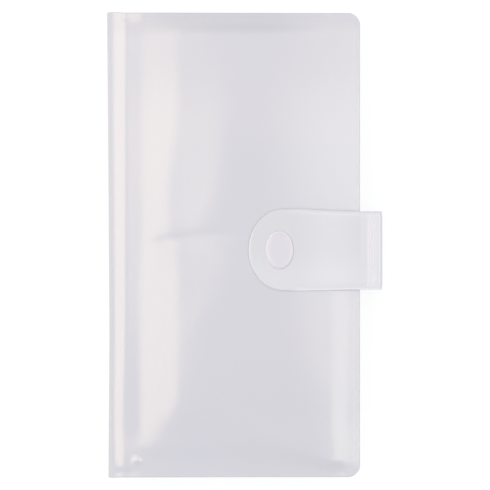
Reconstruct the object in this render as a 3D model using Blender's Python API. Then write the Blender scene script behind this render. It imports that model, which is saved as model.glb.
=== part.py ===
"""Photo card album with a soft welded cover, pocket pages and a snap strap.

A frosted sheet makes the front cover, the spine and the back cover, parted by two hinge grooves.
The pages hang in a binding bar inside the spine, and each has two card pockets open at the top.
A strap welded to the back cover loops round the fore-edge and snaps on to the front cover.

The album lies on its back cover.  +X runs from the spine to the fore-edge, +Y from foot to head and
+Z from the back cover to the front.  The origin is on the table, under the middle of the whole.
Shapes are written in album coordinates, which start at the outer face of the spine.
"""

import math

import bmesh
import bpy
from mathutils import Vector

MM = 0.001

# Cover
COVER_HEIGHT = 190.0 * MM
COVER_WIDTH = 103.0 * MM
ALBUM_THICKNESS = 18.0 * MM
COVER_SHEET = 0.6 * MM
CORNER_RADIUS = 4.7 * MM
HINGE_INSET = 9.4 * MM
GROOVE_WIDTH = 4.4 * MM
GROOVE_DEPTH = 0.6 * MM
WELD_INSET = 1.2 * MM
WELD_WIDTH = 1.2 * MM
WELD_DEPTH = 0.15 * MM

# Puff of the front cover over the pages, with a valley under the strap
PUFF = 1.55 * MM
PUFF_RISE_HINGE = 22.0 * MM
PUFF_RISE_FORE = 26.0 * MM
PUFF_RISE_ENDS = 20.0 * MM
VALLEY_WIDTH = 12.0 * MM
VALLEY_SHARE = 0.5

# Lining of each cover: a stiff end sheet held in a welded flap
END_SHEET = 0.5 * MM
FLAP_SHEET = 0.4 * MM
FLAP_WIDTH = 46.0 * MM
FLAP_INSET = 0.8 * MM
FLAP_MARGIN = 4.4 * MM
FLAP_STEP = 1.2 * MM

# Pages
PAGE_COUNT = 12
TURNED_PAGES = 6
PAGE_FILM = 0.2 * MM
POCKET_GAP = 0.35 * MM
PAGE_END_MARGIN = 6.0 * MM
PAGE_FORE_MARGIN = 6.5 * MM
PAGE_ROOT = 0.9 * MM
PAGE_CORNER = 3.0 * MM
POCKET_BINDING_MARGIN = 15.0 * MM
POCKET_WELD = 1.3 * MM
POCKET_MOUTH = 1.3 * MM
THUMB_NOTCH = 8.0 * MM

# Binding bar with a fin for each page
BAR_WALL = 2.0 * MM
BAR_FOOT = 3.0 * MM
FIN = 0.4 * MM
FIN_LENGTH = 4.0 * MM

# Strap
STRAP_SHEET = 0.8 * MM
STRAP_WIDTH = 33.4 * MM
STRAP_OFFSET = -2.0 * MM
STRAP_REACH = 45.6 * MM
STRAP_TIP_ROUND = 14.3 * MM
STRAP_LOOP = 9.4 * MM
STRAP_FOLD = 1.5 * MM
STRAP_TAB = 5.0 * MM
STRAP_FALL = 0.6 * MM
LOOP_SQUARENESS = 0.5

# Snap fastener: an oval cap, a socket ring in a hole through the strap, and a stud on the cover
SNAP_INSET = 33.0 * MM
CAP_WIDTH = 11.0 * MM
CAP_LENGTH = 15.8 * MM
CAP_HEIGHT = 0.9 * MM
CAP_RIM = 0.9 * MM
CAP_DISH = 0.25 * MM
POST_RADIUS = 1.4 * MM
SOCKET_RADIUS = 4.6 * MM
SOCKET_HEIGHT = 0.6 * MM
STUD_BASE_RADIUS = 4.0 * MM
STUD_BASE = 0.3 * MM
STUD_HEAD_RADIUS = 2.4 * MM
STUD_NECK_RADIUS = 1.9 * MM
STUD_HEAD = 0.7 * MM
RIVET_RADIUS = 0.9 * MM
RIVET_FLANGE = 0.4 * MM

# Clearances
FIT = 0.3 * MM
FOLD_SLIT = 0.4 * MM
SNAP_PLAY = 0.4 * MM

# Fineness of curved shapes
GROOVE_STEPS = 4
PUFF_STEPS_X = 14
PUFF_STEPS_Y = 14
ARC_STEPS = 12
CORNER_STEPS = 5
LOOP_STEPS = 24
TONGUE_STEPS = 10
OVAL_STEPS = 32

# Places worked out from the sizes above
ALBUM_WIDTH = COVER_WIDTH + STRAP_LOOP
HALF_HEIGHT = COVER_HEIGHT / 2
GROOVE_HALF = GROOVE_WIDTH / 2
GROOVE_END = HINGE_INSET + GROOVE_HALF
SHOULDER_RADIUS = min(HINGE_INSET - GROOVE_HALF, ALBUM_THICKNESS / 2)
LINING = COVER_SHEET + END_SHEET + FLAP_SHEET + 3 * FIT
PAGE_SHEET = 2 * PAGE_FILM + POCKET_GAP
PAGE_PITCH = (ALBUM_THICKNESS - 2 * LINING - PAGE_SHEET) / (PAGE_COUNT - 1)
PAGE_START = HINGE_INSET + PAGE_ROOT
PAGE_STOP = COVER_WIDTH - PAGE_FORE_MARGIN
PAGE_HALF_HEIGHT = HALF_HEIGHT - PAGE_END_MARGIN
FOLD_LINE = COVER_WIDTH + STRAP_FOLD
STRAP_TIP = COVER_WIDTH - STRAP_REACH
SNAP_PLACE = COVER_WIDTH - SNAP_INSET
FLAP_LEVEL = COVER_SHEET + WELD_DEPTH + FIT
TAB_LEVEL = FLAP_LEVEL + FLAP_SHEET + FIT


def smooth(share):
    """A soft step from 0 to 1."""
    share = min(max(share, 0.0), 1.0)
    return share * share * (3.0 - 2.0 * share)


def groove(x):
    """Depth of a cover's hinge groove."""
    away = min(abs(x - HINGE_INSET) / GROOVE_HALF, 1.0)
    return GROOVE_DEPTH * (1.0 + math.cos(math.pi * away)) / 2.0


def weld(x, y):
    """Depth of the weld line pressed along a cover's three free edges."""
    inset = min(COVER_WIDTH - x, HALF_HEIGHT - abs(y))
    away = abs(inset - WELD_INSET - WELD_WIDTH / 2.0) / (WELD_WIDTH / 2.0)
    return WELD_DEPTH * max(1.0 - away, 0.0)


def puff(x, y):
    """Height of the front cover over its flat margins."""
    along = smooth((x - GROOVE_END) / PUFF_RISE_HINGE) * smooth((PAGE_STOP - x) / PUFF_RISE_FORE)
    across = smooth((PAGE_HALF_HEIGHT - abs(y)) / PUFF_RISE_ENDS)
    valley = VALLEY_SHARE * math.exp(-(((y - STRAP_OFFSET) / VALLEY_WIDTH) ** 2))
    return PUFF * along * across * (1.0 - valley)


def front_face(x, y):
    return ALBUM_THICKNESS - groove(x) - weld(x, y) + puff(x, y)


def back_face(x, y):
    return groove(x) + weld(x, y)


SNAP_SEAT = front_face(SNAP_PLACE, STRAP_OFFSET)
STUD_FOOT = front_face(SNAP_PLACE, STRAP_OFFSET + STUD_BASE_RADIUS) + FIT
STUD_NECK = STUD_FOOT + STUD_BASE
STUD_TOP = STUD_NECK + STUD_HEAD
SOCKET_FLOOR = STUD_NECK + FIT
SOCKET_ROOF = SOCKET_FLOOR + SOCKET_HEIGHT
STRAP_UNDER = SOCKET_FLOOR
STRAP_TOP = STRAP_UNDER + STRAP_SHEET
LOOP_TOP = STRAP_TOP - STRAP_FALL


def clear_scene():
    for thing in list(bpy.data.objects):
        bpy.data.objects.remove(thing, do_unlink=True)


def material(name, colour, roughness, alpha=1.0):
    made = bpy.data.materials.new(name)
    made.use_nodes = True
    shader = made.node_tree.nodes["Principled BSDF"]
    shader.inputs["Base Color"].default_value = (*colour, 1.0)
    shader.inputs["Roughness"].default_value = roughness
    shader.inputs["Metallic"].default_value = 0.0
    shader.inputs["Alpha"].default_value = alpha
    made.diffuse_color = (*colour, alpha)
    return made


def add_empty(name, place, carrier=None):
    """A pivot at a place in album coordinates, carried by another pivot."""
    empty = bpy.data.objects.new(name, None)
    bpy.context.collection.objects.link(empty)
    empty["place"] = list(place)
    empty.location = place
    if carrier is not None:
        empty.parent = carrier
        empty.location = Vector(place) - Vector(carrier["place"])
    return empty


def add_piece(name, mesh, finish, pivot):
    """An object whose mesh is in album coordinates, hung on its pivot."""
    piece = bpy.data.objects.new(name, mesh)
    bpy.context.collection.objects.link(piece)
    mesh.materials.clear()
    mesh.materials.append(finish)
    piece.parent = pivot
    piece.location = -Vector(pivot["place"])
    return piece


def finished(name, shape):
    """A mesh from a bmesh, shaded smooth with its hard edges kept."""
    mesh = bpy.data.meshes.new(name)
    shape.to_mesh(mesh)
    shape.free()
    mesh.shade_smooth()
    mesh.set_sharp_from_angle(angle=math.radians(35))
    return mesh


def stations(start, stop, steps):
    return [start + (stop - start) * i / steps for i in range(steps + 1)]


def grid_mesh(name, xs, ys, place):
    """A sheet over a grid: place gives the point for each x and y."""
    shape = bmesh.new()
    rows = [[shape.verts.new(place(x, y)) for x in xs] for y in ys]
    for near, far in zip(rows, rows[1:]):
        for i in range(len(xs) - 1):
            shape.faces.new((near[i], near[i + 1], far[i + 1], far[i]))
    return finished(name, shape)


def swept_mesh(name, profile, low, high):
    """A sheet made by sweeping an x, z profile along the height of the album."""
    shape = bmesh.new()
    near, far = [[shape.verts.new((x, y, z)) for x, z in profile] for y in (low, high)]
    for i in range(len(profile) - 1):
        shape.faces.new((near[i], near[i + 1], far[i + 1], far[i]))
    return finished(name, shape)


def prism_mesh(name, outline, depth):
    """A flat outline of points pushed out along a vector."""
    shape = bmesh.new()
    face = shape.faces.new([shape.verts.new(point) for point in outline])
    pushed = bmesh.ops.extrude_face_region(shape, geom=[face])["geom"]
    moved = [part for part in pushed if isinstance(part, bmesh.types.BMVert)]
    bmesh.ops.translate(shape, vec=depth, verts=moved)
    bmesh.ops.recalc_face_normals(shape, faces=shape.faces)
    return finished(name, shape)


def turned_mesh(name, rings, centre, hollow=False):
    """A solid of oval rings (half width, half length, height) round a centre.

    A ring of no width is a point.  A hollow solid joins its last ring to its first round a bore.
    """
    shape = bmesh.new()
    turns = [2.0 * math.pi * i / OVAL_STEPS for i in range(OVAL_STEPS)]
    loops = []
    for wide, long, z in rings:
        points = [(centre[0] + wide * math.cos(t), centre[1] + long * math.sin(t), z) for t in turns]
        if wide == 0.0:
            loops.append([shape.verts.new(points[0])] * OVAL_STEPS)
        else:
            loops.append([shape.verts.new(point) for point in points])
    if hollow:
        loops.append(loops[0])
    for upper, lower in zip(loops, loops[1:]):
        for i in range(OVAL_STEPS):
            corners = (upper[i - 1], lower[i - 1], lower[i], upper[i])
            shape.faces.new(list(dict.fromkeys(corners)))
    bmesh.ops.recalc_face_normals(shape, faces=shape.faces)
    return finished(name, shape)


def thicken(piece, thickness, side):
    """Gives a sheet its thickness: side -1 grows behind its face and 1 in front of it."""
    skin = piece.modifiers.new("thickness", "SOLIDIFY")
    skin.thickness = thickness
    skin.offset = side
    skin.use_even_offset = True


def cut(piece, mesh):
    """Cuts a piece with a hidden cutter made in album coordinates."""
    cutter = add_piece(piece.name + "_cutter", mesh, piece.data.materials[0], piece.parent)
    cutter.hide_render = True
    cutter.display_type = "WIRE"
    hole = piece.modifiers.new("hole", "BOOLEAN")
    hole.object = cutter
    return cutter


def round_hole(name, radius, low, high):
    """A cutter for a round hole at the snap."""
    rings = [(0.0, 0.0, high), (radius, radius, high), (radius, radius, low), (0.0, 0.0, low)]
    return turned_mesh(name, rings, (SNAP_PLACE, STRAP_OFFSET))


def rounded(x, y, edge, half, radius):
    """Bends the two outer corners of a grid into arcs of a radius."""
    out = 1.0 - (edge - x) / radius
    up = 1.0 - (half - abs(y)) / radius
    if out <= 0.0 or up <= 0.0:
        return x, y
    x = edge - radius + radius * out * math.sqrt(1.0 - up * up / 2.0)
    y = math.copysign(half - radius + radius * up * math.sqrt(1.0 - out * out / 2.0), y)
    return x, y


def margin(radius):
    """Insets across a cover's margin: its edge, its weld line and the end of its corners."""
    middle = WELD_INSET + WELD_WIDTH / 2.0
    return [0.0, WELD_INSET, middle, WELD_INSET + WELD_WIDTH, radius]


def cover_mesh(name, face, columns, rows):
    """A cover's outer face from its groove to its fore-edge, with columns and rows inside its margins."""
    insets = margin(CORNER_RADIUS)
    xs = stations(HINGE_INSET + FOLD_SLIT / 2.0, GROOVE_END, GROOVE_STEPS) + columns
    xs += [COVER_WIDTH - inset for inset in reversed(insets)]
    ends = [HALF_HEIGHT - inset for inset in insets]
    ys = [-end for end in ends] + rows + ends[::-1]

    def place(x, y):
        return (*rounded(x, y, COVER_WIDTH, HALF_HEIGHT, CORNER_RADIUS), face(x, y))

    return grid_mesh(name, xs, ys, place)


def add_covers(finish, root, front_hinge):
    back = add_piece("back_cover", cover_mesh("back_cover", back_face, [], []), finish, root)
    thicken(back, COVER_SHEET, 1.0)
    end = HALF_HEIGHT - CORNER_RADIUS
    columns = stations(GROOVE_END, COVER_WIDTH - CORNER_RADIUS, PUFF_STEPS_X)[1:-1]
    rows = stations(-end, STRAP_OFFSET, PUFF_STEPS_Y)[1:] + stations(STRAP_OFFSET, end, PUFF_STEPS_Y)[1:-1]
    mesh = cover_mesh("front_cover", front_face, columns, rows)
    front = add_piece("front_cover", mesh, finish, front_hinge)
    thicken(front, COVER_SHEET, -1.0)
    hole = RIVET_RADIUS + SNAP_PLAY
    cut(front, round_hole("rivet_hole", hole, SNAP_SEAT - 2.0 * COVER_SHEET, SNAP_SEAT + COVER_SHEET))


def arc(x, z, radius, start, stop):
    turns = stations(math.radians(start), math.radians(stop), ARC_STEPS)
    return [(x + radius * math.cos(t), z + radius * math.sin(t)) for t in turns]


def add_spine(finish, lean):
    """The rounded back, from the middle of one groove round to the middle of the other."""
    low = [(x, groove(x)) for x in
           stations(HINGE_INSET - FOLD_SLIT / 2.0, HINGE_INSET - GROOVE_HALF, GROOVE_STEPS)[:-1]]
    top = ALBUM_THICKNESS - SHOULDER_RADIUS
    profile = low + arc(SHOULDER_RADIUS, SHOULDER_RADIUS, SHOULDER_RADIUS, -90, -180)
    profile += arc(SHOULDER_RADIUS, top, SHOULDER_RADIUS, 180, 90)
    profile += [(x, ALBUM_THICKNESS - z) for x, z in reversed(low)]
    spine = add_piece("spine", swept_mesh("spine", profile, -HALF_HEIGHT, HALF_HEIGHT), finish, lean)
    thicken(spine, COVER_SHEET, -1.0)


def spine_inside(z):
    """Place of the spine's inner face at a height."""
    past = max(SHOULDER_RADIUS - z, z - ALBUM_THICKNESS + SHOULDER_RADIUS, 0.0)
    return SHOULDER_RADIUS - math.sqrt((SHOULDER_RADIUS - COVER_SHEET) ** 2 - past ** 2)


def page_level(number):
    """Underside of a page, counted from 1 at the front."""
    return ALBUM_THICKNESS - LINING - PAGE_SHEET - (number - 1) * PAGE_PITCH


def add_binding_bar(finish, lean):
    """A bar with a foot on the spine and a thin fin where each page is bound."""
    tip = PAGE_START - FIT
    wall = tip - FIN_LENGTH
    face = wall - BAR_WALL
    outline = [(face, page_level(PAGE_COUNT)), (wall, page_level(PAGE_COUNT))]
    for number in range(PAGE_COUNT, 0, -1):
        fin = page_level(number) + (PAGE_SHEET - FIN) / 2.0
        outline += [(wall, fin), (tip, fin), (tip, fin + FIN), (wall, fin + FIN)]
    outline += [(wall, page_level(1) + PAGE_SHEET), (face, page_level(1) + PAGE_SHEET)]
    high = (ALBUM_THICKNESS + BAR_FOOT) / 2.0
    low = (ALBUM_THICKNESS - BAR_FOOT) / 2.0
    end = spine_inside(low) + FIT
    outline += [(face, high), (end, high), (end, low), (face, low)]
    points = [(x, -PAGE_HALF_HEIGHT, z) for x, z in outline]
    mesh = prism_mesh("binding_bar", points, (0.0, 2.0 * PAGE_HALF_HEIGHT, 0.0))
    add_piece("binding_bar", mesh, finish, lean)


def sheet_outline(start, stop, half, radius, z):
    """A rectangle with round corners at its fore-edge."""
    turns = stations(0.0, math.pi / 2.0, CORNER_STEPS)
    corner = [(stop - radius + radius * math.sin(t), half - radius + radius * math.cos(t)) for t in turns]
    points = [(start, half)] + corner + [(x, -y) for x, y in reversed(corner)] + [(start, -half)]
    return [(x, y, z) for x, y in points]


def add_linings(film, board, root, front_hinge):
    """The end sheet and the welded flap inside each cover."""
    sheet_start = GROOVE_END + FIT
    sheet_stop = COVER_WIDTH - FLAP_INSET - FLAP_MARGIN - FLAP_STEP - FIT
    sheet_half = HALF_HEIGHT - FLAP_INSET - FLAP_MARGIN - FLAP_STEP - FIT
    outer = COVER_SHEET + FIT
    for side, pivot in (("back", root), ("front", front_hinge)):
        level = outer if side == "back" else ALBUM_THICKNESS - outer - END_SHEET
        outline = sheet_outline(sheet_start, sheet_stop, sheet_half, PAGE_CORNER, level)
        name = side + "_end_sheet"
        add_piece(name, prism_mesh(name, outline, (0.0, 0.0, END_SHEET)), board, pivot)
        add_flap(side, film, pivot)


def add_flap(side, finish, pivot):
    """A flap that steps down to its cover along three margins and is open towards the spine."""
    edge = COVER_WIDTH - FLAP_INSET
    half = HALF_HEIGHT - FLAP_INSET
    pocket = COVER_SHEET + FIT + END_SHEET + FIT
    insets = stations(0.0, FLAP_MARGIN, CORNER_STEPS - 1) + [FLAP_MARGIN + FLAP_STEP]
    xs = [edge - FLAP_WIDTH] + [edge - inset for inset in reversed(insets)]
    ends = [half - inset for inset in insets]

    def place(x, y):
        inset = min(edge - x, half - abs(y))
        rise = (pocket - FLAP_LEVEL) * smooth((inset - FLAP_MARGIN) / FLAP_STEP)
        level = FLAP_LEVEL + rise
        z = level if side == "back" else ALBUM_THICKNESS - level
        return (*rounded(x, y, edge, half, FLAP_MARGIN), z)

    name = side + "_flap"
    flap = add_piece(name, grid_mesh(name, xs, [-end for end in ends] + ends[::-1], place), finish, pivot)
    thicken(flap, FLAP_SHEET, 1.0 if side == "back" else -1.0)


def pocket_mesh(name, low, high):
    """The room in one pocket and the slit that opens it through the page's front film."""
    floor = PAGE_FILM
    roof = PAGE_FILM + POCKET_GAP
    above = PAGE_SHEET + PAGE_FILM
    mouth = high - POCKET_MOUTH
    start = PAGE_START + POCKET_BINDING_MARGIN
    profile = [(low, floor), (high, floor), (high, above), (mouth, above), (mouth, roof), (low, roof)]
    depth = PAGE_STOP - POCKET_WELD - start
    return prism_mesh(name, [(start, y, z) for y, z in profile], (depth, 0.0, 0.0))


def notch_mesh(name, high):
    """A half-moon thumb notch in the front film, below a pocket's mouth."""
    middle = (PAGE_START + POCKET_BINDING_MARGIN + PAGE_STOP - POCKET_WELD) / 2.0
    mouth = high - POCKET_MOUTH / 2.0
    turns = stations(math.pi, 2.0 * math.pi, ARC_STEPS)
    low = PAGE_FILM + POCKET_GAP / 2.0
    outline = [(middle + THUMB_NOTCH * math.cos(t), mouth + THUMB_NOTCH * math.sin(t), low) for t in turns]
    return prism_mesh(name, outline, (0.0, 0.0, PAGE_SHEET))


def page_mesh(root, finish):
    """One pocket page with its underside at height 0."""
    outline = sheet_outline(PAGE_START, PAGE_STOP, PAGE_HALF_HEIGHT, PAGE_CORNER, 0.0)
    blank = add_piece("page_blank", prism_mesh("page_blank", outline, (0.0, 0.0, PAGE_SHEET)), finish, root)
    lower = (-PAGE_HALF_HEIGHT + POCKET_WELD, 0.0)
    upper = (POCKET_WELD, PAGE_HALF_HEIGHT - POCKET_WELD)
    cutters = []
    for low, high in (lower, upper):
        cutters.append(cut(blank, pocket_mesh("pocket", low, high)))
        cutters.append(cut(blank, notch_mesh("thumb_notch", high)))
    bpy.context.view_layer.update()
    ready = blank.evaluated_get(bpy.context.evaluated_depsgraph_get())
    mesh = bpy.data.meshes.new_from_object(ready)
    mesh.name = "pocket_page"
    for spent in (blank, *cutters):
        bpy.data.objects.remove(spent, do_unlink=True)
    return mesh


def add_pages(finish, root, lean):
    """Pages that turn with the front cover hang on its hinge line, the rest on their own roots."""
    mesh = page_mesh(root, finish)
    for number in range(1, PAGE_COUNT + 1):
        level = page_level(number)
        axis = (PAGE_START - FIT / 2.0, 0.0, level + PAGE_SHEET / 2.0)
        if number <= TURNED_PAGES:
            axis = (HINGE_INSET, 0.0, ALBUM_THICKNESS)
        hinge = add_empty(f"page_turn_{number:02d}", axis, lean)
        page = add_piece(f"pocket_page_{number:02d}", mesh, finish, hinge)
        page.location.z += level


def strap_edges():
    return STRAP_OFFSET - STRAP_WIDTH / 2.0, STRAP_OFFSET + STRAP_WIDTH / 2.0


def add_strap(finish, root, lower_fold, upper_fold):
    """A welded tab, the loop round the fore-edge and the tongue, parted at the two folds."""
    low, high = strap_edges()
    tab_end = FOLD_LINE - FOLD_SLIT / 2.0
    tab = [(COVER_WIDTH - STRAP_TAB, low), (tab_end, low), (tab_end, high), (COVER_WIDTH - STRAP_TAB, high)]
    mesh = prism_mesh("strap_tab", [(x, y, TAB_LEVEL) for x, y in tab], (0.0, 0.0, STRAP_SHEET))
    add_piece("strap_tab", mesh, finish, root)

    mesh = swept_mesh("strap_loop", loop_profile(), low, high)
    wall = add_piece("strap_loop", mesh, finish, lower_fold)
    thicken(wall, STRAP_SHEET, -1.0)

    tongue = add_piece("strap_tongue", tongue_mesh(tab_end), finish, upper_fold)
    thicken(tongue, STRAP_SHEET, -1.0)
    hole = round_hole("socket_hole", SOCKET_RADIUS + FIT, STRAP_UNDER - FIT, STRAP_TOP + FIT)
    cut(tongue, hole)


def loop_profile():
    """Outer face of the strap's loop, a half oval with squared shoulders."""
    start = FOLD_LINE + FOLD_SLIT / 2.0
    reach = ALBUM_WIDTH - start
    middle = (LOOP_TOP + TAB_LEVEL) / 2.0
    rise = (LOOP_TOP - TAB_LEVEL) / 2.0

    def squared(value):
        return math.copysign(abs(value) ** LOOP_SQUARENESS, value)

    turns = stations(math.pi / 2.0, -math.pi / 2.0, LOOP_STEPS)
    return [(start + reach * abs(squared(math.cos(t))), middle + rise * squared(math.sin(t))) for t in turns]


def tongue_mesh(end):
    """Upper face of the strap's tongue: level at the snap, and falling to the loop past the cap."""
    shoulder = STRAP_TIP + STRAP_TIP_ROUND
    brow = SNAP_PLACE + CAP_WIDTH / 2.0 + CAP_RIM
    xs = stations(-1.0, 0.0, ARC_STEPS) + stations(0.0, 1.0, TONGUE_STEPS)[1:]
    ys = stations(-1.0, 1.0, ARC_STEPS)

    def place(along, across):
        x = shoulder + (end - shoulder) * along
        y = across
        if along < 0.0:
            x = shoulder + STRAP_TIP_ROUND * along * math.sqrt(1.0 - across * across / 2.0)
            y = across * math.sqrt(1.0 - along * along / 2.0)
        z = STRAP_TOP - STRAP_FALL * smooth((x - brow) / (end - brow))
        return x, STRAP_OFFSET + STRAP_WIDTH / 2.0 * y, z

    return grid_mesh("strap_tongue", xs, ys, place)


def add_snap(finish, front_hinge, upper_fold):
    """The oval cap and its socket on the strap, and the stud and its rivet on the front cover."""
    centre = (SNAP_PLACE, STRAP_OFFSET)
    wide = CAP_WIDTH / 2.0
    long = CAP_LENGTH / 2.0
    foot = STRAP_TOP + FIT
    top = foot + CAP_HEIGHT
    post_end = min(STUD_TOP + FIT, foot - FIT)

    def inset(amount, z):
        return wide - amount, long - amount, z

    cap = [(0.0, 0.0, top - CAP_DISH), inset(2.0 * CAP_RIM, top - CAP_DISH),
           inset(1.3 * CAP_RIM, top - CAP_DISH / 3.0), inset(0.8 * CAP_RIM, top),
           inset(0.3 * CAP_RIM, top - 0.2 * CAP_HEIGHT), inset(0.0, top - 0.6 * CAP_HEIGHT),
           inset(0.0, foot), (POST_RADIUS, POST_RADIUS, foot),
           (POST_RADIUS, POST_RADIUS, post_end), (0.0, 0.0, post_end)]
    add_piece("snap_cap", turned_mesh("snap_cap", cap, centre), finish, upper_fold)

    bore = STUD_HEAD_RADIUS + SNAP_PLAY
    socket = [(SOCKET_RADIUS, SOCKET_ROOF), (SOCKET_RADIUS, SOCKET_FLOOR),
              (bore, SOCKET_FLOOR), (bore, SOCKET_ROOF)]
    mesh = turned_mesh("snap_socket", [(r, r, z) for r, z in socket], centre, hollow=True)
    add_piece("snap_socket", mesh, finish, upper_fold)

    rivet_hole = RIVET_RADIUS + SNAP_PLAY
    crest = STUD_TOP - 0.3 * STUD_HEAD
    stud = [(0.0, STUD_TOP), (0.7 * STUD_HEAD_RADIUS, STUD_TOP), (STUD_HEAD_RADIUS, crest),
            (STUD_NECK_RADIUS, STUD_NECK), (STUD_BASE_RADIUS, STUD_NECK), (STUD_BASE_RADIUS, STUD_FOOT),
            (rivet_hole, STUD_FOOT), (rivet_hole, crest - FIT), (0.0, crest - FIT)]
    mesh = turned_mesh("snap_stud", [(r, r, z) for r, z in stud], centre)
    add_piece("snap_stud", mesh, finish, front_hinge)

    flange = SNAP_SEAT - COVER_SHEET - FIT
    tip = crest - 2.0 * FIT
    rivet = [(0.0, tip), (RIVET_RADIUS, tip), (RIVET_RADIUS, flange), (STUD_BASE_RADIUS, flange),
             (STUD_BASE_RADIUS, flange - RIVET_FLANGE), (0.0, flange - RIVET_FLANGE)]
    mesh = turned_mesh("snap_rivet", [(r, r, z) for r, z in rivet], centre)
    add_piece("snap_rivet", mesh, finish, front_hinge)


def main():
    clear_scene()
    pvc = material("frosted_pvc", (0.80, 0.79, 0.84), 0.35, 0.75)
    strap = material("strap_pvc", (0.83, 0.83, 0.86), 0.35, 0.85)
    film = material("pocket_film", (0.86, 0.88, 0.90), 0.15, 0.35)
    board = material("end_sheet", (0.88, 0.88, 0.90), 0.5, 0.8)
    snap = material("snap_plastic", (0.82, 0.80, 0.85), 0.3, 0.9)

    root = add_empty("album", (0.0, 0.0, 0.0))
    root.location.x = -ALBUM_WIDTH / 2.0
    lean = add_empty("spine_lean", (HINGE_INSET, 0.0, 0.0), root)
    front_hinge = add_empty("front_hinge", (HINGE_INSET, 0.0, ALBUM_THICKNESS), lean)
    lower_fold = add_empty("strap_lower_fold", (FOLD_LINE, 0.0, TAB_LEVEL), root)
    upper_fold = add_empty("strap_upper_fold", (FOLD_LINE, 0.0, LOOP_TOP), lower_fold)

    add_covers(pvc, root, front_hinge)
    add_spine(pvc, lean)
    add_binding_bar(board, lean)
    add_linings(pvc, board, root, front_hinge)
    add_pages(film, root, lean)
    add_strap(strap, root, lower_fold, upper_fold)
    add_snap(snap, front_hinge, upper_fold)


main()
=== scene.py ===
import math

import bmesh
import bpy
import numpy as np
from mathutils import Matrix, Vector

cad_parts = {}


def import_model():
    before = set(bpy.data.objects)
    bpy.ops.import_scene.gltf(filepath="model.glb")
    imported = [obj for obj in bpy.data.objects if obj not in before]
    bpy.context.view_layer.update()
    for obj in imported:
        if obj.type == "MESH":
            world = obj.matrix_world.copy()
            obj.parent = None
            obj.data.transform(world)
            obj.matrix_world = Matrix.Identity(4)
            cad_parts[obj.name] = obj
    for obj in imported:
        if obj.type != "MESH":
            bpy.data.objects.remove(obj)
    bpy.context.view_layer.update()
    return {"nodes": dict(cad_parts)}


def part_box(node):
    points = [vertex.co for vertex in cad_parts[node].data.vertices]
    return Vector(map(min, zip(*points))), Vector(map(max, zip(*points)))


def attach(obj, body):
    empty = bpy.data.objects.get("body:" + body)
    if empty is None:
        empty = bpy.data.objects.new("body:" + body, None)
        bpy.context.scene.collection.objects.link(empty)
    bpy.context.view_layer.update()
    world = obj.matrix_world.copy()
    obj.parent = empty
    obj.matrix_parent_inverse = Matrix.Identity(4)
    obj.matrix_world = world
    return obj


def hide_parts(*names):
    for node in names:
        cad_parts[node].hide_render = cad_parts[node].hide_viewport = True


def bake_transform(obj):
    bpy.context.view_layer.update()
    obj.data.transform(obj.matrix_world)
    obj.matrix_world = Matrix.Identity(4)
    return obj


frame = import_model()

# Lengths below are in millimetres, in album coordinates: x starts at the outer face of the spine,
# y at the middle of the cover's height and z at the table.
MM = 0.001
SPINE_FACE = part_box("spine")[0].x / MM

COVER_HEIGHT = 189.6
COVER_WIDTH = 103.0
THICKNESS = 18.0
SHEET = 0.6
CORNER = 4.7
HINGE = 9.4
GROOVE_HALF = 2.2
SHOULDER = HINGE - GROOVE_HALF
GROOVE_END = HINGE + GROOVE_HALF
HALF = COVER_HEIGHT / 2.0
RIM = 0.06
STRAP_RIM = 0.05

PAGE_COUNT = 12
PAGE_START = 10.3
PAGE_STOP = 96.5
PAGE_HALF = 89.0
PAGE_SHEET = 0.75
PAGE_CORNER = 3.0
POCKET_START = 25.3
POCKET_STOP = 95.2
POCKET_MOUTH = 1.3
THUMB_NOTCH = 8.0
FILM = 0.2

STRAP_SHEET = 0.8
STRAP_MIDDLE = -2.0
STRAP_HALF = 16.7
STRAP_TIP = 57.4
STRAP_ROUND = 14.3
STRAP_TAB = 5.0
FOLD_LINE = 104.5
LOOP_END = 112.2
TAB_LEVEL = 1.75
STRAP_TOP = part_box("strap_tongue")[1].z / MM
LOOP_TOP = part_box("strap_loop")[1].z / MM
SNAP_PLACE = 70.1


def world(points):
    """Album millimetres to metres in the frame."""
    return (np.asarray(points, float) + (SPINE_FACE, 0.0, 0.0)) * MM


def step(share):
    share = np.clip(share, 0.0, 1.0)
    return share * share * (3.0 - 2.0 * share)


def hump(value, middle, width):
    return np.exp(-(((value - middle) / width) ** 2))


def spread(*runs):
    """Stations from runs of (start, stop, steps) that follow each other."""
    parts = [np.linspace(start, stop, steps, endpoint=False) for start, stop, steps in runs]
    return np.concatenate(parts + [[runs[-1][1]]])


# Meshes

def grid_normals(face):
    across = np.gradient(face, axis=1)
    along = np.gradient(face, axis=0)
    normal = np.cross(across, along)
    return normal / np.maximum(np.linalg.norm(normal, axis=2, keepdims=True), 1e-9)


def ring_of(rows, cols):
    """Row and column of each boundary point of a grid, in order."""
    low = [(0, j) for j in range(cols)]
    right = [(i, cols - 1) for i in range(1, rows)]
    high = [(rows - 1, j) for j in range(cols - 2, -1, -1)]
    left = [(i, 0) for i in range(rows - 2, 0, -1)]
    return low + right + high + left


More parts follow.
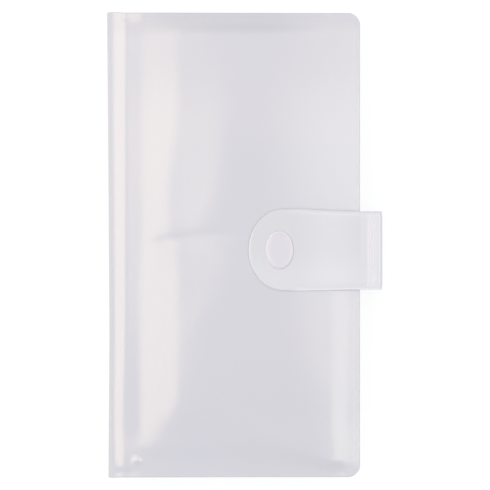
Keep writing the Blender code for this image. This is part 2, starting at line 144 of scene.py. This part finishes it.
def sheet_shell(face, thickness, rim_out=RIM, mask=None, cut=None):
    """Points, faces and painted light-and-shade edge mask of a closed sheet, grown behind its outer face.

    Its rim is round, except along the column that another sheet runs on from.
    """
    rows, cols = face.shape[:2]
    thickness = np.broadcast_to(thickness, (rows, cols))
    inner = face - grid_normals(face) * thickness[:, :, None]
    ring = ring_of(rows, cols)
    rim = []
    for i, j in ring:
        near = (min(max(i, 1), rows - 2), min(max(j, 1), cols - 2))
        away = face[i, j] - face[near]
        away = away / max(np.linalg.norm(away), 1e-9)
        out = 0.0 if j == cut else min(rim_out, thickness[i, j] / 2.0)
        rim.append((face[i, j] + inner[i, j]) / 2.0 + away * out)
    points = np.concatenate([face.reshape(-1, 3), inner.reshape(-1, 3), np.array(rim)])
    back = rows * cols
    edge = 2 * back
    faces = []
    for i in range(rows - 1):
        for j in range(cols - 1):
            a = i * cols + j
            quad = (a, a + 1, a + cols + 1, a + cols)
            faces.append(quad)
            faces.append(tuple(back + k for k in reversed(quad)))
    count = len(ring)
    for k in range(count):
        n = (k + 1) % count
        a = ring[k][0] * cols + ring[k][1]
        b = ring[n][0] * cols + ring[n][1]
        faces.append((b, a, edge + k, edge + n))
        faces.append((edge + n, edge + k, back + a, back + b))
    if mask is None:
        mask = np.zeros((rows, cols))
    mask = np.concatenate([mask.ravel(), mask.ravel(), [mask[i, j] for i, j in ring]])
    return points, faces, mask


def add_mesh(name, shells, finish):
    """One object from shells of album points, faces and edge masks of painted light and shade."""
    points = []
    faces = []
    masks = []
    start = 0
    for shell_points, shell_faces, shell_mask in shells:
        points.append(world(shell_points))
        faces.extend(tuple(start + k for k in face) for face in shell_faces)
        masks.append(shell_mask)
        start += len(shell_points)
    points = np.concatenate(points)
    mesh = bpy.data.meshes.new(name)
    mesh.from_pydata(points.tolist(), [], faces)
    shape = bmesh.new()
    shape.from_mesh(mesh)
    bmesh.ops.recalc_face_normals(shape, faces=shape.faces)
    shape.to_mesh(mesh)
    shape.free()
    mesh.shade_smooth()
    keep_rest(mesh)
    # The edge mask, stored per point, carries the painted light and shade into the material.
    shade = mesh.attributes.new("edge", "FLOAT", "POINT")
    shade.data.foreach_set("value", np.concatenate(masks).astype(np.float32))
    mesh.materials.append(finish)
    piece = bpy.data.objects.new(name, mesh)
    bpy.context.scene.collection.objects.link(piece)
    return piece


def close_seam(piece, level):
    """Keeps the cut between two sheets from shading the face that runs on across it."""
    for line in piece.data.edges:
        line.use_edge_sharp = all(abs(piece.data.vertices[k].co.z - level * MM) < 1e-5 for k in line.vertices)


def keep_rest(mesh):
    """Stores each point's rest place, so that a texture stays put when the piece bends."""
    places = np.array([v.co for v in mesh.vertices], np.float32)
    rest = mesh.attributes.new("rest", "FLOAT_VECTOR", "POINT")
    rest.data.foreach_set("vector", places.ravel())


def rounded(x, y, edge, half, radius):
    """Bends the two outer corners of a grid into arcs."""
    out = np.clip(1.0 - (edge - x) / radius, 0.0, None)
    up = np.clip(1.0 - (half - np.abs(y)) / radius, 0.0, None)
    bend = (out > 0.0) & (up > 0.0)
    round_x = edge - radius + radius * out * np.sqrt(1.0 - up * up / 2.0)
    round_y = np.sign(y) * (half - radius + radius * up * np.sqrt(1.0 - out * out / 2.0))
    return np.where(bend, round_x, x), np.where(bend, round_y, y)


# Materials

def frosted(name, colours, roughness, alpha, grain=0.06, tint_scale=14.0, painted_edge_tone=0.85):
    """Frosted plastic: a drifting tint, a fine matt grain and a roughness that varies with it, and, through
    the edge mask, a painted edge tone: a darker copy of the colour is painted shade, a lighter one painted
    light.
    """
    made = bpy.data.materials.new(name)
    made.use_nodes = True
    nodes = made.node_tree.nodes
    links = made.node_tree.links
    shader = nodes["Principled BSDF"]
    place = nodes.new("ShaderNodeAttribute")
    place.attribute_name = "rest"

    tint = nodes.new("ShaderNodeTexNoise")
    tint.inputs["Scale"].default_value = tint_scale
    tint.inputs["Detail"].default_value = 1.0
    links.new(place.outputs["Vector"], tint.inputs["Vector"])
    ramp = nodes.new("ShaderNodeValToRGB")
    ramp.color_ramp.elements[0].position = 0.3
    ramp.color_ramp.elements[1].position = 0.7
    ramp.color_ramp.elements[0].color = (*colours[0], 1.0)
    ramp.color_ramp.elements[1].color = (*colours[1], 1.0)
    links.new(tint.outputs["Fac"], ramp.inputs["Fac"])
    # Painted light and shade: the edge mask mixes in a copy of the base colour scaled by the edge tone,
    # darker for painted shade and lighter for painted light.
    edge = nodes.new("ShaderNodeAttribute")
    edge.attribute_name = "edge"
    shade = nodes.new("ShaderNodeMix")
    shade.data_type = "RGBA"
    shade.inputs[7].default_value = (*(painted_edge_tone * c for c in colours[0]), 1.0)
    links.new(edge.outputs["Fac"], shade.inputs[0])
    links.new(ramp.outputs["Color"], shade.inputs[6])
    links.new(shade.outputs[2], shader.inputs["Base Color"])

    matt = nodes.new("ShaderNodeTexNoise")
    matt.inputs["Scale"].default_value = 1800.0
    matt.inputs["Detail"].default_value = 2.0
    links.new(place.outputs["Vector"], matt.inputs["Vector"])
    rough = nodes.new("ShaderNodeMapRange")
    rough.inputs["To Min"].default_value = roughness - 0.05
    rough.inputs["To Max"].default_value = roughness + 0.05
    links.new(matt.outputs["Fac"], rough.inputs["Value"])
    links.new(rough.outputs["Result"], shader.inputs["Roughness"])
    bump = nodes.new("ShaderNodeBump")
    bump.inputs["Strength"].default_value = grain
    bump.inputs["Distance"].default_value = 0.0002
    links.new(matt.outputs["Fac"], bump.inputs["Height"])
    links.new(bump.outputs["Normal"], shader.inputs["Normal"])

    shader.inputs["Specular IOR Level"].default_value = 1.0
    shader.inputs["Specular Tint"].default_value = (1.0, 0.86, 0.54, 1.0)
    shader.inputs["Alpha"].default_value = alpha
    return made


# Through the edge mask the covers get painted shade (edge tone below 1) and the strap painted light (edge
# tone above 1).
pvc = frosted("frosted_pvc", ((0.65, 0.645, 0.69), (0.665, 0.65, 0.69)), 0.2, 0.88)
strap_pvc = frosted("strap_pvc", ((0.70, 0.692, 0.725), (0.71, 0.697, 0.725)), 0.24, 0.85, painted_edge_tone=1.32)
flap_pvc = frosted("flap_pvc", ((0.68, 0.685, 0.73), (0.70, 0.70, 0.74)), 0.2, 0.6)
snap_plastic = frosted("snap_plastic", ((0.665, 0.638, 0.685), (0.675, 0.642, 0.69)), 0.25, 0.95)
film = frosted("pocket_film", ((0.74, 0.76, 0.80), (0.76, 0.77, 0.80)), 0.16, 0.7, grain=0.02)
board = frosted("end_sheet", ((0.82, 0.82, 0.84), (0.85, 0.85, 0.86)), 0.45, 1.0, grain=0.12)
binding = frosted("binding_plastic", ((0.72, 0.72, 0.76), (0.75, 0.75, 0.78)), 0.35, 1.0)


# Covers

def weld_line(x, y):
    """The line pressed into a cover's margin."""
    inset = np.minimum(COVER_WIDTH - x, HALF - np.abs(y))
    return 0.01 * hump(inset, 1.8, 0.5)


SUNK = 0.45
HINGE_SLOPE = 0.03
RISE_SLOPE = 0.1
TAIL_SLOPE = 0.041
FORE_SLOPE = 0.057


def rise_end(y):
    """Where the front cover's steep rise from the hinge ends at each height."""
    upper = 24.0 + 4.5 * step((y - 18.0) / 45.0) + 1.6 * hump(y, 4.0, 8.0)
    lower = 28.5 + hump(y, -38.0, 18.0) + 1.6 * hump(y, -5.0, 9.0)
    foot = 14.0 + 14.5 * np.sqrt(np.clip((y + 87.0) / 25.0, 0.0, 1.0))
    above = step(y / 5.0)
    return upper * above + np.minimum(lower, foot) * (1.0 - above)


def tail_end(y):
    """Where the gentle rise behind the steep one ends at each height."""
    upper = 36.0 + 11.0 * step(y / 30.0) - 4.0 * step((y - 50.0) / 25.0)
    lower = 50.0 - 14.0 * step((-y - 14.0) / 22.0) - 6.0 * step((-y - 42.0) / 20.0)
    above = step(y / 5.0)
    return upper * above + lower * (1.0 - above)


def climb(slope, x):
    """Height gained along each row of a grid from its slope."""
    height = np.zeros_like(x)
    steps = (slope[:, 1:] + slope[:, :-1]) / 2.0 * np.diff(x, axis=1)
    height[:, 1:] = np.cumsum(steps, axis=1)
    return height


def ridge(x, y, start, end, width, height):
    """A soft fold between two points."""
    run_x, run_y = end[0] - start[0], end[1] - start[1]
    length = math.hypot(run_x, run_y)
    along = ((x - start[0]) * run_x + (y - start[1]) * run_y) / length ** 2
    away = ((y - start[1]) * run_x - (x - start[0]) * run_y) / length
    ends = step((along + 0.15) / 0.4) * step((1.15 - along) / 0.4)
    return height * hump(away, 0.0, width) * ends


def pillow(x, y):
    """The front cover's long form: a rise from the sunk hinge and a fall to the fore-edge."""
    past = step((x - rise_end(y) + 3.0) / 6.0)
    hinge = HINGE_SLOPE * step((x - SHOULDER) / 2.0) * (1.0 - step((-y - 15.0) / 55.0))
    hinge = hinge + 0.08 * hump(y, -83.5, 4.0) * step((x - 5.0) / 2.0)
    rise = hinge + (RISE_SLOPE - hinge) * step((x - GROOVE_END + 1.2 * step((10.0 - y) / 30.0)) / 5.6)
    tail = TAIL_SLOPE * (1.0 - 0.5 * step((y - 45.0) / 20.0)) * (1.0 + 0.22 * hump(y, 0.0, 12.0))
    tail = tail * (1.0 - step((x - tail_end(y) + 6.0) / 14.0))
    upper = FORE_SLOPE * step((x - 42.0) / 50.0)
    start = 62.0 + 15.0 * step((-y - 30.0) / 55.0)
    roll = x - 0.8 * step((-y - 65.0) / 20.0)
    roll = step((roll - 90.2) / 4.0) * step((99.8 - 1.2 * step((-y - 45.0) / 30.0) - roll) / 3.5)
    broad = 0.055 + 0.022 * step((-y - 68.0) / 16.0)
    lower = broad * step((x - start) / 24.0) + (0.04 + 0.03 * step((-y - 45.0) / 35.0)) * roll
    below = step((-8.0 - y) / 14.0)
    slope = rise * (1.0 - past) + tail * past - upper * (1.0 - below) - lower * below
    height = climb(slope, x) - SUNK
    return height - height[:, -1:] * step((x - 26.0) / 40.0)


def dent(x, y):
    """The crease between the two halves of the front cover, steep above its line."""
    middle = 1.8 + 0.05 * (x - 18.0)
    reach = np.clip(x - 18.0, 0.0, None)
    width = np.where(y > middle, 1.5 + 0.07 * reach, 2.0 + 0.25 * reach)
    depth = (0.25 + 0.004 * reach) * step((x - 14.5) / 10.0) * step((64.0 - x) / 34.0)
    return depth * hump(y, middle, width)


def panel(x, y):
    """Height of the puffed front cover over its flat margins."""
    height = pillow(x, y)
    height = height - 0.25 * hump(y, -1.0, 12.0) * step((x - 18.0) / 16.0) * step((COVER_WIDTH - x) / 24.0)
    height = height + ridge(x, y, (40.0, 13.0), (52.0, 55.0), 5.0, 0.03)
    height = height + ridge(x, y, (49.0, -9.0), (31.0, -42.0), 6.0, 0.06)
    top = 1.0 - 0.62 * step((y - 40.0) / 42.0)
    top = top * step((92.0 - y) / 7.0)
    lower = 1.5 * step((x - 80.0) / 12.0)
    taper = 20.0 + 6.0 * step((x - 13.0) / 14.0) - 19.0 * step((x - 35.0) / 53.0) - lower
    kept = 0.4 * step((x - 62.0) / 26.0)
    bottom = kept + (1.0 - kept) * step((y + 91.5 + lower) / taper)
    pinch = 0.5 * hump(x, 12.0, 1.6) * hump(y, -87.9, 1.3)
    return height * top * bottom - dent(x, y) + pinch


def end_press(x, y):
    """How far the spine and the hinge are pressed down at the head and the foot."""
    return 0.3 * step((5.0 - (HALF - np.abs(y))) / 3.4) * (1.0 - step((x - SHOULDER) / 7.0))


def spine_bow(y):
    """How far the spine's back stands in from a straight line: it has a slight waist."""
    return 0.27 - 0.0078 * (np.sqrt((y + 36.0) ** 2 + 144.0) - 12.0)


def stand_off(x):
    """How far the lower shoulder is lifted off the table, so that the leaning spine stays above it."""
    arc = SHOULDER - np.sqrt(SHOULDER ** 2 - np.clip(SHOULDER - x, 0.0, SHOULDER) ** 2)
    more = 0.32 * np.clip(HINGE + 0.3 - x, 0.0, None) - arc
    more = (more + np.sqrt(more ** 2 + 0.04)) / 2.0
    return more * step((HINGE + 0.3 - x) / 1.5) * step(x / 2.0)


def shoulder_run(steps):
    turns = np.linspace(math.pi, math.pi / 2.0, steps + 1)
    return SHOULDER + SHOULDER * np.cos(turns), SHOULDER * np.sin(turns) - SHOULDER


def cover_rows(fine):
    edge = HALF - RIM
    ends = [(-edge, -HALF + 3.2, 8), (-HALF + 3.2, -HALF + 9.0, 8)]
    middle = [(-HALF + 9.0, HALF - 9.0, fine)]
    return spread(*ends, *middle, (HALF - 9.0, HALF - 3.2, 8), (HALF - 3.2, edge, 8))


def cover_face(xs, rows, height, sign):
    """Outer face of one cover: the spine from its middle, a shoulder, the groove and the panel."""
    arc_x, arc_z = shoulder_run(20)
    wall = THICKNESS / 2.0 - SHOULDER
    run_x = np.concatenate([[0.0, 0.0], arc_x, xs])
    run_z = np.concatenate([[-SHOULDER - wall, -SHOULDER - wall / 2.0], arc_z, np.zeros(len(xs))])
    x, y = np.meshgrid(run_x, rows)
    z = np.broadcast_to(run_z, x.shape) + (height(x, y) - end_press(x, y)) * step(x / 6.0)
    z = z - weld_line(x, y) * step((x - GROOVE_END) / 3.0)
    place_x, place_y = rounded(x, y, COVER_WIDTH - RIM, HALF - RIM, CORNER)
    spine = step((SHOULDER - x) / SHOULDER)
    flatter = 0.65 * step((-y - 25.0) / 40.0) + 0.45 * step((-y - 45.0) / 30.0)
    place_x = place_x + spine_bow(y) * spine - flatter * hump(x, 4.7, 2.5) * step(x / 3.0)
    place_x = place_x - 0.45 * hump(x, 2.6, 1.3) * step(x / 2.0)
    place_y = place_y * (1.0 + 0.0025 * (1.0 - x / COVER_WIDTH) + 0.004 * spine)
    level = THICKNESS + z if sign > 0 else stand_off(x) - z
    face = np.stack([place_x, place_y, level], axis=2)
    # Painted shade: the cover's colour is darkened within 0.6 mm of its outer edges, and in a band along the
    # head margin, strongest about 30 to 60 mm from the spine.
    inset = np.minimum(COVER_WIDTH - x, HALF - np.abs(y))
    head = (1.0 - 0.8 * step((x - 60.0) / 32.0)) * (0.4 + 0.6 * step((x - 10.0) / 20.0))
    head = 0.55 * step((y - 84.0) / 6.0) * head
    mask = np.maximum(0.15 * (1.0 - step(inset / 0.6)), head)
    return (face, mask) if sign > 0 else (face[:, ::-1], mask[:, ::-1])


def back_panel(x, y):
    return np.zeros_like(x)


FORE_EDGE = COVER_WIDTH - RIM
front_xs = spread((SHOULDER + 0.3, 15.0, 26), (15.0, COVER_WIDTH - 12.0, 86),
                  (COVER_WIDTH - 12.0, COVER_WIDTH - 3.0, 18), (COVER_WIDTH - 3.0, FORE_EDGE, 12))
back_xs = spread((SHOULDER + 0.3, GROOVE_END, 14), (GROOVE_END, COVER_WIDTH - 12.0, 30),
                 (COVER_WIDTH - 12.0, COVER_WIDTH - 3.0, 9), (COVER_WIDTH - 3.0, FORE_EDGE, 12))
front_face, front_mask = cover_face(front_xs, cover_rows(170), panel, 1)
front_shell = sheet_shell(front_face, SHEET, RIM, front_mask, 0)
front_sheet = add_mesh("front_sheet", [front_shell], pvc)
back_face, back_mask = cover_face(back_xs, cover_rows(40), back_panel, -1)
back_shell = sheet_shell(back_face, SHEET, RIM, back_mask, back_face.shape[1] - 1)
back_sheet = add_mesh("back_sheet", [back_shell], pvc)
close_seam(front_sheet, THICKNESS / 2.0)
close_seam(back_sheet, THICKNESS / 2.0)
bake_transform(front_sheet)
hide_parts("front_cover", "spine")
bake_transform(back_sheet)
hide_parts("back_cover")


# Strap

FLEX_LINES = (106.3, 107.3, 108.3, 109.4)
LOOP_SQUARENESS = 0.13
BROW = SNAP_PLACE + 6.4
SNAP_SLACK = 0.15
LYING_TOP = STRAP_TOP - SNAP_SLACK
LOOP_CREST = LOOP_TOP - 0.45
LOOP_MIDDLE = (LOOP_CREST + TAB_LEVEL) / 2.0


def loop_run(low, high, steps):
    """Outer face of the loop between two angles, in degrees from the fore-edge, at even distances."""
    turns = np.radians(np.linspace(low, high, 2001))
    rise = (LOOP_CREST - TAB_LEVEL) / 2.0
    out = np.abs(np.cos(turns)) ** LOOP_SQUARENESS
    up = np.sign(np.sin(turns)) * np.abs(np.sin(turns)) ** LOOP_SQUARENESS
    x, z = FOLD_LINE + (LOOP_END - FOLD_LINE) * out, LOOP_MIDDLE + rise * up
    length = np.concatenate([[0.0], np.cumsum(np.hypot(np.diff(x), np.diff(z)))])
    even = np.linspace(0.0, length[-1], steps + 1)
    return np.interp(even, length, x), np.interp(even, length, z)


def strap_rows():
    return spread((-1.0, -0.94, 5), (-0.94, 0.94, 26), (0.94, 1.0, 5))


def strap_place(x, y):
    """Place across the album of a point on the strap, which narrows a little towards its loop."""
    near = step((x - 75.0) / 30.0)
    return STRAP_MIDDLE + y - near * np.where(y > 0.0, 0.9, 0.45) * y / STRAP_HALF


def edge_drop(inset, drop, width):
    """How far a strap's outer face is rounded down towards its cut edge."""
    return drop * np.clip(1.0 - inset / width, 0.0, 1.0) ** 2


def side_drop(across):
    return edge_drop(STRAP_HALF * (1.0 - np.abs(across)), 0.4, 2.2)


def lower_strap():
    xs = spread((COVER_WIDTH - STRAP_TAB, FOLD_LINE, 10))
    loop_x, loop_z = loop_run(-90.0, 0.0, 40)
    run_x = np.concatenate([xs[:-1], loop_x])
    run_z = np.concatenate([np.full(len(xs) - 1, TAB_LEVEL), loop_z])
    share = strap_rows()[::-1]
    x, across = np.meshgrid(run_x, share)
    z = np.broadcast_to(run_z, x.shape)
    face = np.stack([x, strap_place(x, STRAP_HALF * across), z], axis=2)
    drop = side_drop(across)
    # Painted light: the rounded side edges of the strap are lightened.
    mask = 0.25 * np.minimum(drop / 0.3, 1.0)
    return face - grid_normals(face) * drop[:, :, None], STRAP_SHEET - drop, mask


def upper_strap():
    loop_x, loop_z = loop_run(0.0, 90.0, 100)
    shoulder = STRAP_TIP + STRAP_RIM + STRAP_ROUND
    flat = spread((FOLD_LINE, FOLD_LINE - 5.0, 20), (FOLD_LINE - 5.0, shoulder, 36))[1:]
    tip = spread((0.0, 0.9, 16), (0.9, 1.0, 8))[1:]
    share = strap_rows()[::-1]
    run_x = np.concatenate([loop_x, flat])
    run_z = np.concatenate([loop_z, np.full(len(flat), LOOP_CREST)])
    body_x, body_across = np.meshgrid(run_x, share)
    body_z = np.broadcast_to(run_z, body_x.shape)
    out, across = np.meshgrid(tip, share)
    tip_x = shoulder - STRAP_ROUND * out * np.sqrt(1.0 - across ** 2 / 2.0)
    tip_y = STRAP_HALF * across * np.sqrt(1.0 - out ** 2 / 2.0)
    x = np.concatenate([body_x, tip_x], axis=1)
    y = np.concatenate([STRAP_HALF * body_across, tip_y], axis=1)
    z = np.concatenate([body_z, np.full(tip_x.shape, LOOP_CREST)], axis=1)
    fall = step((x - BROW) / (FOLD_LINE - 1.0 - BROW))
    z = np.where(x < FOLD_LINE, LYING_TOP * (1.0 - fall) + LOOP_CREST * fall, z)
    face = np.stack([x, strap_place(x, y), z], axis=2)
    lines = sum(hump(x, line, 0.2) for line in FLEX_LINES) * (z > 12.0)
    face = face - grid_normals(face) * (0.09 * lines)[:, :, None]
    run_out = np.concatenate([np.zeros(len(run_x)), tip])
    side = STRAP_HALF * (1.0 - np.abs(share))[:, None]
    end = STRAP_ROUND * (1.0 - run_out)[None, :]
    thin = edge_drop(np.minimum(side, end), 0.3, 0.7)
    drop = np.maximum(thin, side_drop(share)[:, None] * step((x - shoulder) / 8.0))
    # Painted light: the loop beyond the fore-edge is lightened a little and its last millimetre, where it
    # turns down, strongly; the rounded edges are lightened, most along the lower side, and the strap grows
    # slightly lighter towards its lower side.
    painted_bend_light = 0.14 * step((x - COVER_WIDTH) / 0.4) + 0.8 * step((x - LOOP_END + 1.0) / 0.8)
    above = step((z - 14.0) / 3.0)
    low = step((2.0 - y) / 14.0) * above
    mask = np.maximum((0.25 + 0.65 * low) * np.minimum(drop / 0.3, 1.0), 0.16 * low)
    mask = np.maximum(mask, painted_bend_light * above)
    resting = 0.3 * (1.0 - step((x - 63.0) / 18.0))
    return face - grid_normals(face) * drop[:, :, None], STRAP_SHEET - drop - resting, mask


lower_face, lower_sheet, lower_mask = lower_strap()
upper_face, upper_sheet, upper_mask = upper_strap()
lower_shell = sheet_shell(lower_face, lower_sheet, STRAP_RIM, lower_mask, lower_face.shape[1] - 1)
upper_shell = sheet_shell(upper_face, upper_sheet, STRAP_RIM, upper_mask, 0)
strap_lower = add_mesh("strap_lower", [lower_shell], strap_pvc)
strap_upper = add_mesh("strap_upper", [upper_shell], strap_pvc)
close_seam(strap_lower, LOOP_MIDDLE)
close_seam(strap_upper, LOOP_MIDDLE)
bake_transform(strap_lower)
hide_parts("strap_tab", "strap_loop")
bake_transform(strap_upper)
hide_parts("strap_tongue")


# Snap

CAP_HALF_WIDTH = 5.7
CAP_HALF_LENGTH = 7.9
CAP_PROFILE = ((0.0, -0.1), (0.0, 0.08), (0.06, 0.17), (0.18, 0.25), (0.34, 0.3), (0.7, 0.36),
               (0.9, 0.365), (1.15, 0.34), (1.5, 0.31), (2.3, 0.3), (3.4, 0.3), (4.4, 0.3))
CAP_SIDES = 72


def oval_shell(profile, base):
    """A solid of oval rings, each inset from the outline, closed at the top and the bottom."""
    turns = np.linspace(0.0, 2.0 * math.pi, CAP_SIDES, endpoint=False)
    points = []
    for inset, rise in profile:
        ring_x = SNAP_PLACE + (CAP_HALF_WIDTH - inset) * np.cos(turns)
        ring_y = STRAP_MIDDLE + (CAP_HALF_LENGTH - inset) * np.sin(turns)
        points.append(np.stack([ring_x, ring_y, np.full(CAP_SIDES, base + rise)], axis=1))
    faces = []
    for ring in range(len(profile) - 1):
        for k in range(CAP_SIDES):
            n = (k + 1) % CAP_SIDES
            a, b = ring * CAP_SIDES, (ring + 1) * CAP_SIDES
            faces.append((a + k, a + n, b + n, b + k))
    last = (len(profile) - 1) * CAP_SIDES
    faces.append(tuple(last + k for k in range(CAP_SIDES)))
    faces.append(tuple(reversed(range(CAP_SIDES))))
    points = np.concatenate(points)
    return points, faces, np.zeros(len(points))


snap_button = add_mesh("snap_button", [oval_shell(CAP_PROFILE, LYING_TOP)], snap_plastic)
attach(snap_button, "strap_tongue")
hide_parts("snap_cap")


# Pages

def page_level(number):
    pitch = (THICKNESS - 4.8 - PAGE_SHEET) / (PAGE_COUNT - 1)
    return THICKNESS - 2.4 - PAGE_SHEET - (number - 1) * pitch


def page_weld(x, y):
    """How deep the welds round the two pockets are pressed into a page's back."""
    inside = step((x - POCKET_START + 1.5) / 1.0)
    rows = np.maximum(hump(y, 0.3, 0.8), hump(np.abs(y), PAGE_HALF - 1.6, 0.6)) * inside
    columns = np.maximum(hump(x, POCKET_START - 0.3, 0.8), hump(x, PAGE_STOP - 1.4, 0.6))
    return 0.12 * np.maximum(rows, columns)


def back_film(level):
    xs = spread((PAGE_START - 0.4, POCKET_START - 2.5, 22), (POCKET_START - 2.5, POCKET_START + 2.0, 12),
                (POCKET_START + 2.0, PAGE_STOP - 4.0, 8), (PAGE_STOP - 4.0, PAGE_STOP - RIM, 10))
    ys = spread((-PAGE_HALF + RIM, -PAGE_HALF + 4.0, 9), (-PAGE_HALF + 4.0, -2.5, 10), (-2.5, 3.0, 14),
                (3.0, PAGE_HALF - 4.0, 10), (PAGE_HALF - 4.0, PAGE_HALF - RIM, 9))
    x, y = np.meshgrid(xs, ys)
    z = level + 0.45 - 0.18 * step((x - 20.0) / 4.0) + page_weld(x, y)
    place_x, place_y = rounded(x, y, PAGE_STOP - RIM, PAGE_HALF - RIM, PAGE_CORNER)
    return sheet_shell(np.stack([place_x, place_y, z], axis=2), FILM)


def front_film(level, low, high):
    """The front film of one pocket, welded on three sides, with a thumb notch in its mouth."""
    middle = (POCKET_START + POCKET_STOP) / 2.0
    bow = middle + THUMB_NOTCH * np.sin(np.linspace(-math.pi / 2.0, math.pi / 2.0, 17))
    first = spread((POCKET_START - 1.0, POCKET_START + 1.2, 5), (POCKET_START + 1.2, bow[0] - 0.4, 10))
    last = spread((bow[-1] + 0.4, POCKET_STOP - 1.2, 10), (POCKET_STOP - 1.2, POCKET_STOP + 1.0, 5))
    xs = np.concatenate([first, bow, last])
    share = spread((0.0, 0.03, 6), (0.03, 0.94, 8), (0.94, 1.0, 5))
    notch = np.sqrt(np.clip(THUMB_NOTCH ** 2 - (xs - middle) ** 2, 0.0, None))
    mouth = high - POCKET_MOUTH - notch
    x = np.broadcast_to(xs, (len(share), len(xs)))
    y = (low - 1.0) + share[:, None] * (mouth - low + 1.0)[None, :]
    inset = np.minimum(np.minimum(x - xs[0], xs[-1] - x), y - low + 1.0)
    lift = 0.19 * step((inset - 0.9) / 1.1)
    z = level + 0.27 + FILM + lift - 0.02
    return sheet_shell(np.stack([x, y, z], axis=2), FILM)


def add_page(number):
    level = page_level(number)
    lower_pocket = front_film(level, -PAGE_HALF + 1.3, 0.0)
    upper_pocket = front_film(level, 1.3, PAGE_HALF - 1.3)
    page = add_mesh(f"film_page_{number:02d}", [back_film(level), lower_pocket, upper_pocket], film)
    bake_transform(page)
    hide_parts(f"pocket_page_{number:02d}")


for number in range(1, PAGE_COUNT + 1):
    add_page(number)


# Nodes that stay, with better finishes

KEPT = {"front_flap": flap_pvc, "back_flap": flap_pvc,
        "front_end_sheet": board, "back_end_sheet": board, "binding_bar": binding,
        "snap_stud": snap_plastic, "snap_rivet": snap_plastic, "snap_socket": snap_plastic}
for name, finish in KEPT.items():
    node = frame["nodes"][name]
    keep_rest(node.data)
    node.data.materials.clear()
    node.data.materials.append(finish)


# Floor, light and camera

def any_direct_ray(nodes, links):
    """1 for rays that show the background: camera, glossy and transmission rays."""
    path = nodes.new("ShaderNodeLightPath")
    first = nodes.new("ShaderNodeMath")
    first.operation = "MAXIMUM"
    second = nodes.new("ShaderNodeMath")
    second.operation = "MAXIMUM"
    links.new(path.outputs["Is Camera Ray"], first.inputs[0])
    links.new(path.outputs["Is Glossy Ray"], first.inputs[1])
    links.new(first.outputs[0], second.inputs[0])
    links.new(path.outputs["Is Transmission Ray"], second.inputs[1])
    return second.outputs[0]


def add_floor():
    mesh = bpy.data.meshes.new("floor")
    side = 4.0
    mesh.from_pydata([(-side, -side, 0.0), (side, -side, 0.0), (side, side, 0.0), (-side, side, 0.0)],
                     [], [(0, 1, 2, 3)])
    floor = bpy.data.objects.new("floor", mesh)
    bpy.context.scene.collection.objects.link(floor)
    made = bpy.data.materials.new("floor")
    made.use_nodes = True
    nodes = made.node_tree.nodes
    links = made.node_tree.links
    shader = nodes["Principled BSDF"]
    shader.inputs["Base Color"].default_value = (0.93, 0.93, 0.93, 1.0)
    shader.inputs["Roughness"].default_value = 0.9
    shader.inputs["Specular IOR Level"].default_value = 0.0
    glow = nodes.new("ShaderNodeEmission")
    share = nodes.new("ShaderNodeMath")
    share.operation = "MULTIPLY"
    share.inputs[1].default_value = 0.85
    links.new(any_direct_ray(nodes, links), share.inputs[0])
    mix = nodes.new("ShaderNodeMixShader")
    links.new(share.outputs[0], mix.inputs["Fac"])
    links.new(shader.outputs[0], mix.inputs[1])
    links.new(glow.outputs[0], mix.inputs[2])
    glow.inputs["Strength"].default_value = 1.06
    links.new(mix.outputs[0], nodes["Material Output"].inputs["Surface"])
    mesh.materials.append(made)


def add_world(colour, strength):
    made = bpy.data.worlds.new("studio")
    bpy.context.scene.world = made
    made.use_nodes = True
    nodes = made.node_tree.nodes
    links = made.node_tree.links
    fill = nodes["Background"]
    fill.inputs["Color"].default_value = (*colour, 1.0)
    fill.inputs["Strength"].default_value = strength
    white = nodes.new("ShaderNodeBackground")
    mix = nodes.new("ShaderNodeMixShader")
    links.new(any_direct_ray(nodes, links), mix.inputs["Fac"])
    links.new(fill.outputs[0], mix.inputs[1])
    links.new(white.outputs[0], mix.inputs[2])
    links.new(mix.outputs[0], nodes["World Output"].inputs["Surface"])


def add_softbox(name, first, last, length, radiance, colour, turn):
    """A panel light facing the album, whose width runs from one point to another in x and z, in metres."""
    lamp = bpy.data.lights.new(name, "AREA")
    lamp.shape = "RECTANGLE"
    first, last = Vector((first[0], 0.0, first[1])), Vector((last[0], 0.0, last[1]))
    lamp.size = (last - first).length
    lamp.size_y = length
    lamp.energy = radiance * math.pi * lamp.size * lamp.size_y
    lamp.color = colour
    holder = bpy.data.objects.new(name, lamp)
    bpy.context.scene.collection.objects.link(holder)
    centre = (first + last) / 2.0
    across = (last - first).normalized()
    along = Vector((0.0, 1.0, 0.0))
    facing = across.cross(along)
    if facing.dot(centre) < 0.0:
        along = -along
        facing = -facing
    basis = [[across[k], along[k], facing[k], centre[k]] for k in range(3)] + [[0.0, 0.0, 0.0, 1.0]]
    holder.matrix_world = Matrix.Rotation(math.radians(turn), 4, "Z") @ Matrix(basis)


WARM = (1.0, 0.97, 0.95)
COOL = (0.735, 0.83, 1.0)
CAMERA_DISTANCE = 1.5
VIEW_WIDTH = 0.2003


def add_camera():
    lens = bpy.data.cameras.new("camera")
    lens.sensor_width = 36.0
    lens.lens = 36.0 * CAMERA_DISTANCE / VIEW_WIDTH
    camera = bpy.data.objects.new("camera", lens)
    camera.location = (-0.0002, 0.0, THICKNESS * MM + CAMERA_DISTANCE)
    bpy.context.scene.collection.objects.link(camera)
    bpy.context.scene.camera = camera


add_floor()
add_world((0.95, 0.96, 1.0), 0.64)
add_softbox("softbox_left", (-0.14, 0.95), (-0.62, 0.517), 0.56, 2.48, WARM, -15.0)
add_softbox("softbox_low", (-0.625, 0.513), (-0.8, 0.355), 0.56, 1.42, WARM, -15.0)
add_softbox("softbox_side", (-0.803, 0.352), (-1.05, 0.13), 0.56, 0.62, WARM, -15.0)
add_softbox("softbox_right", (0.14, 0.95), (0.44, 0.76), 0.6, 3.2, COOL, 12.0)
add_camera()
bpy.context.scene.view_settings.view_transform = "Standard"
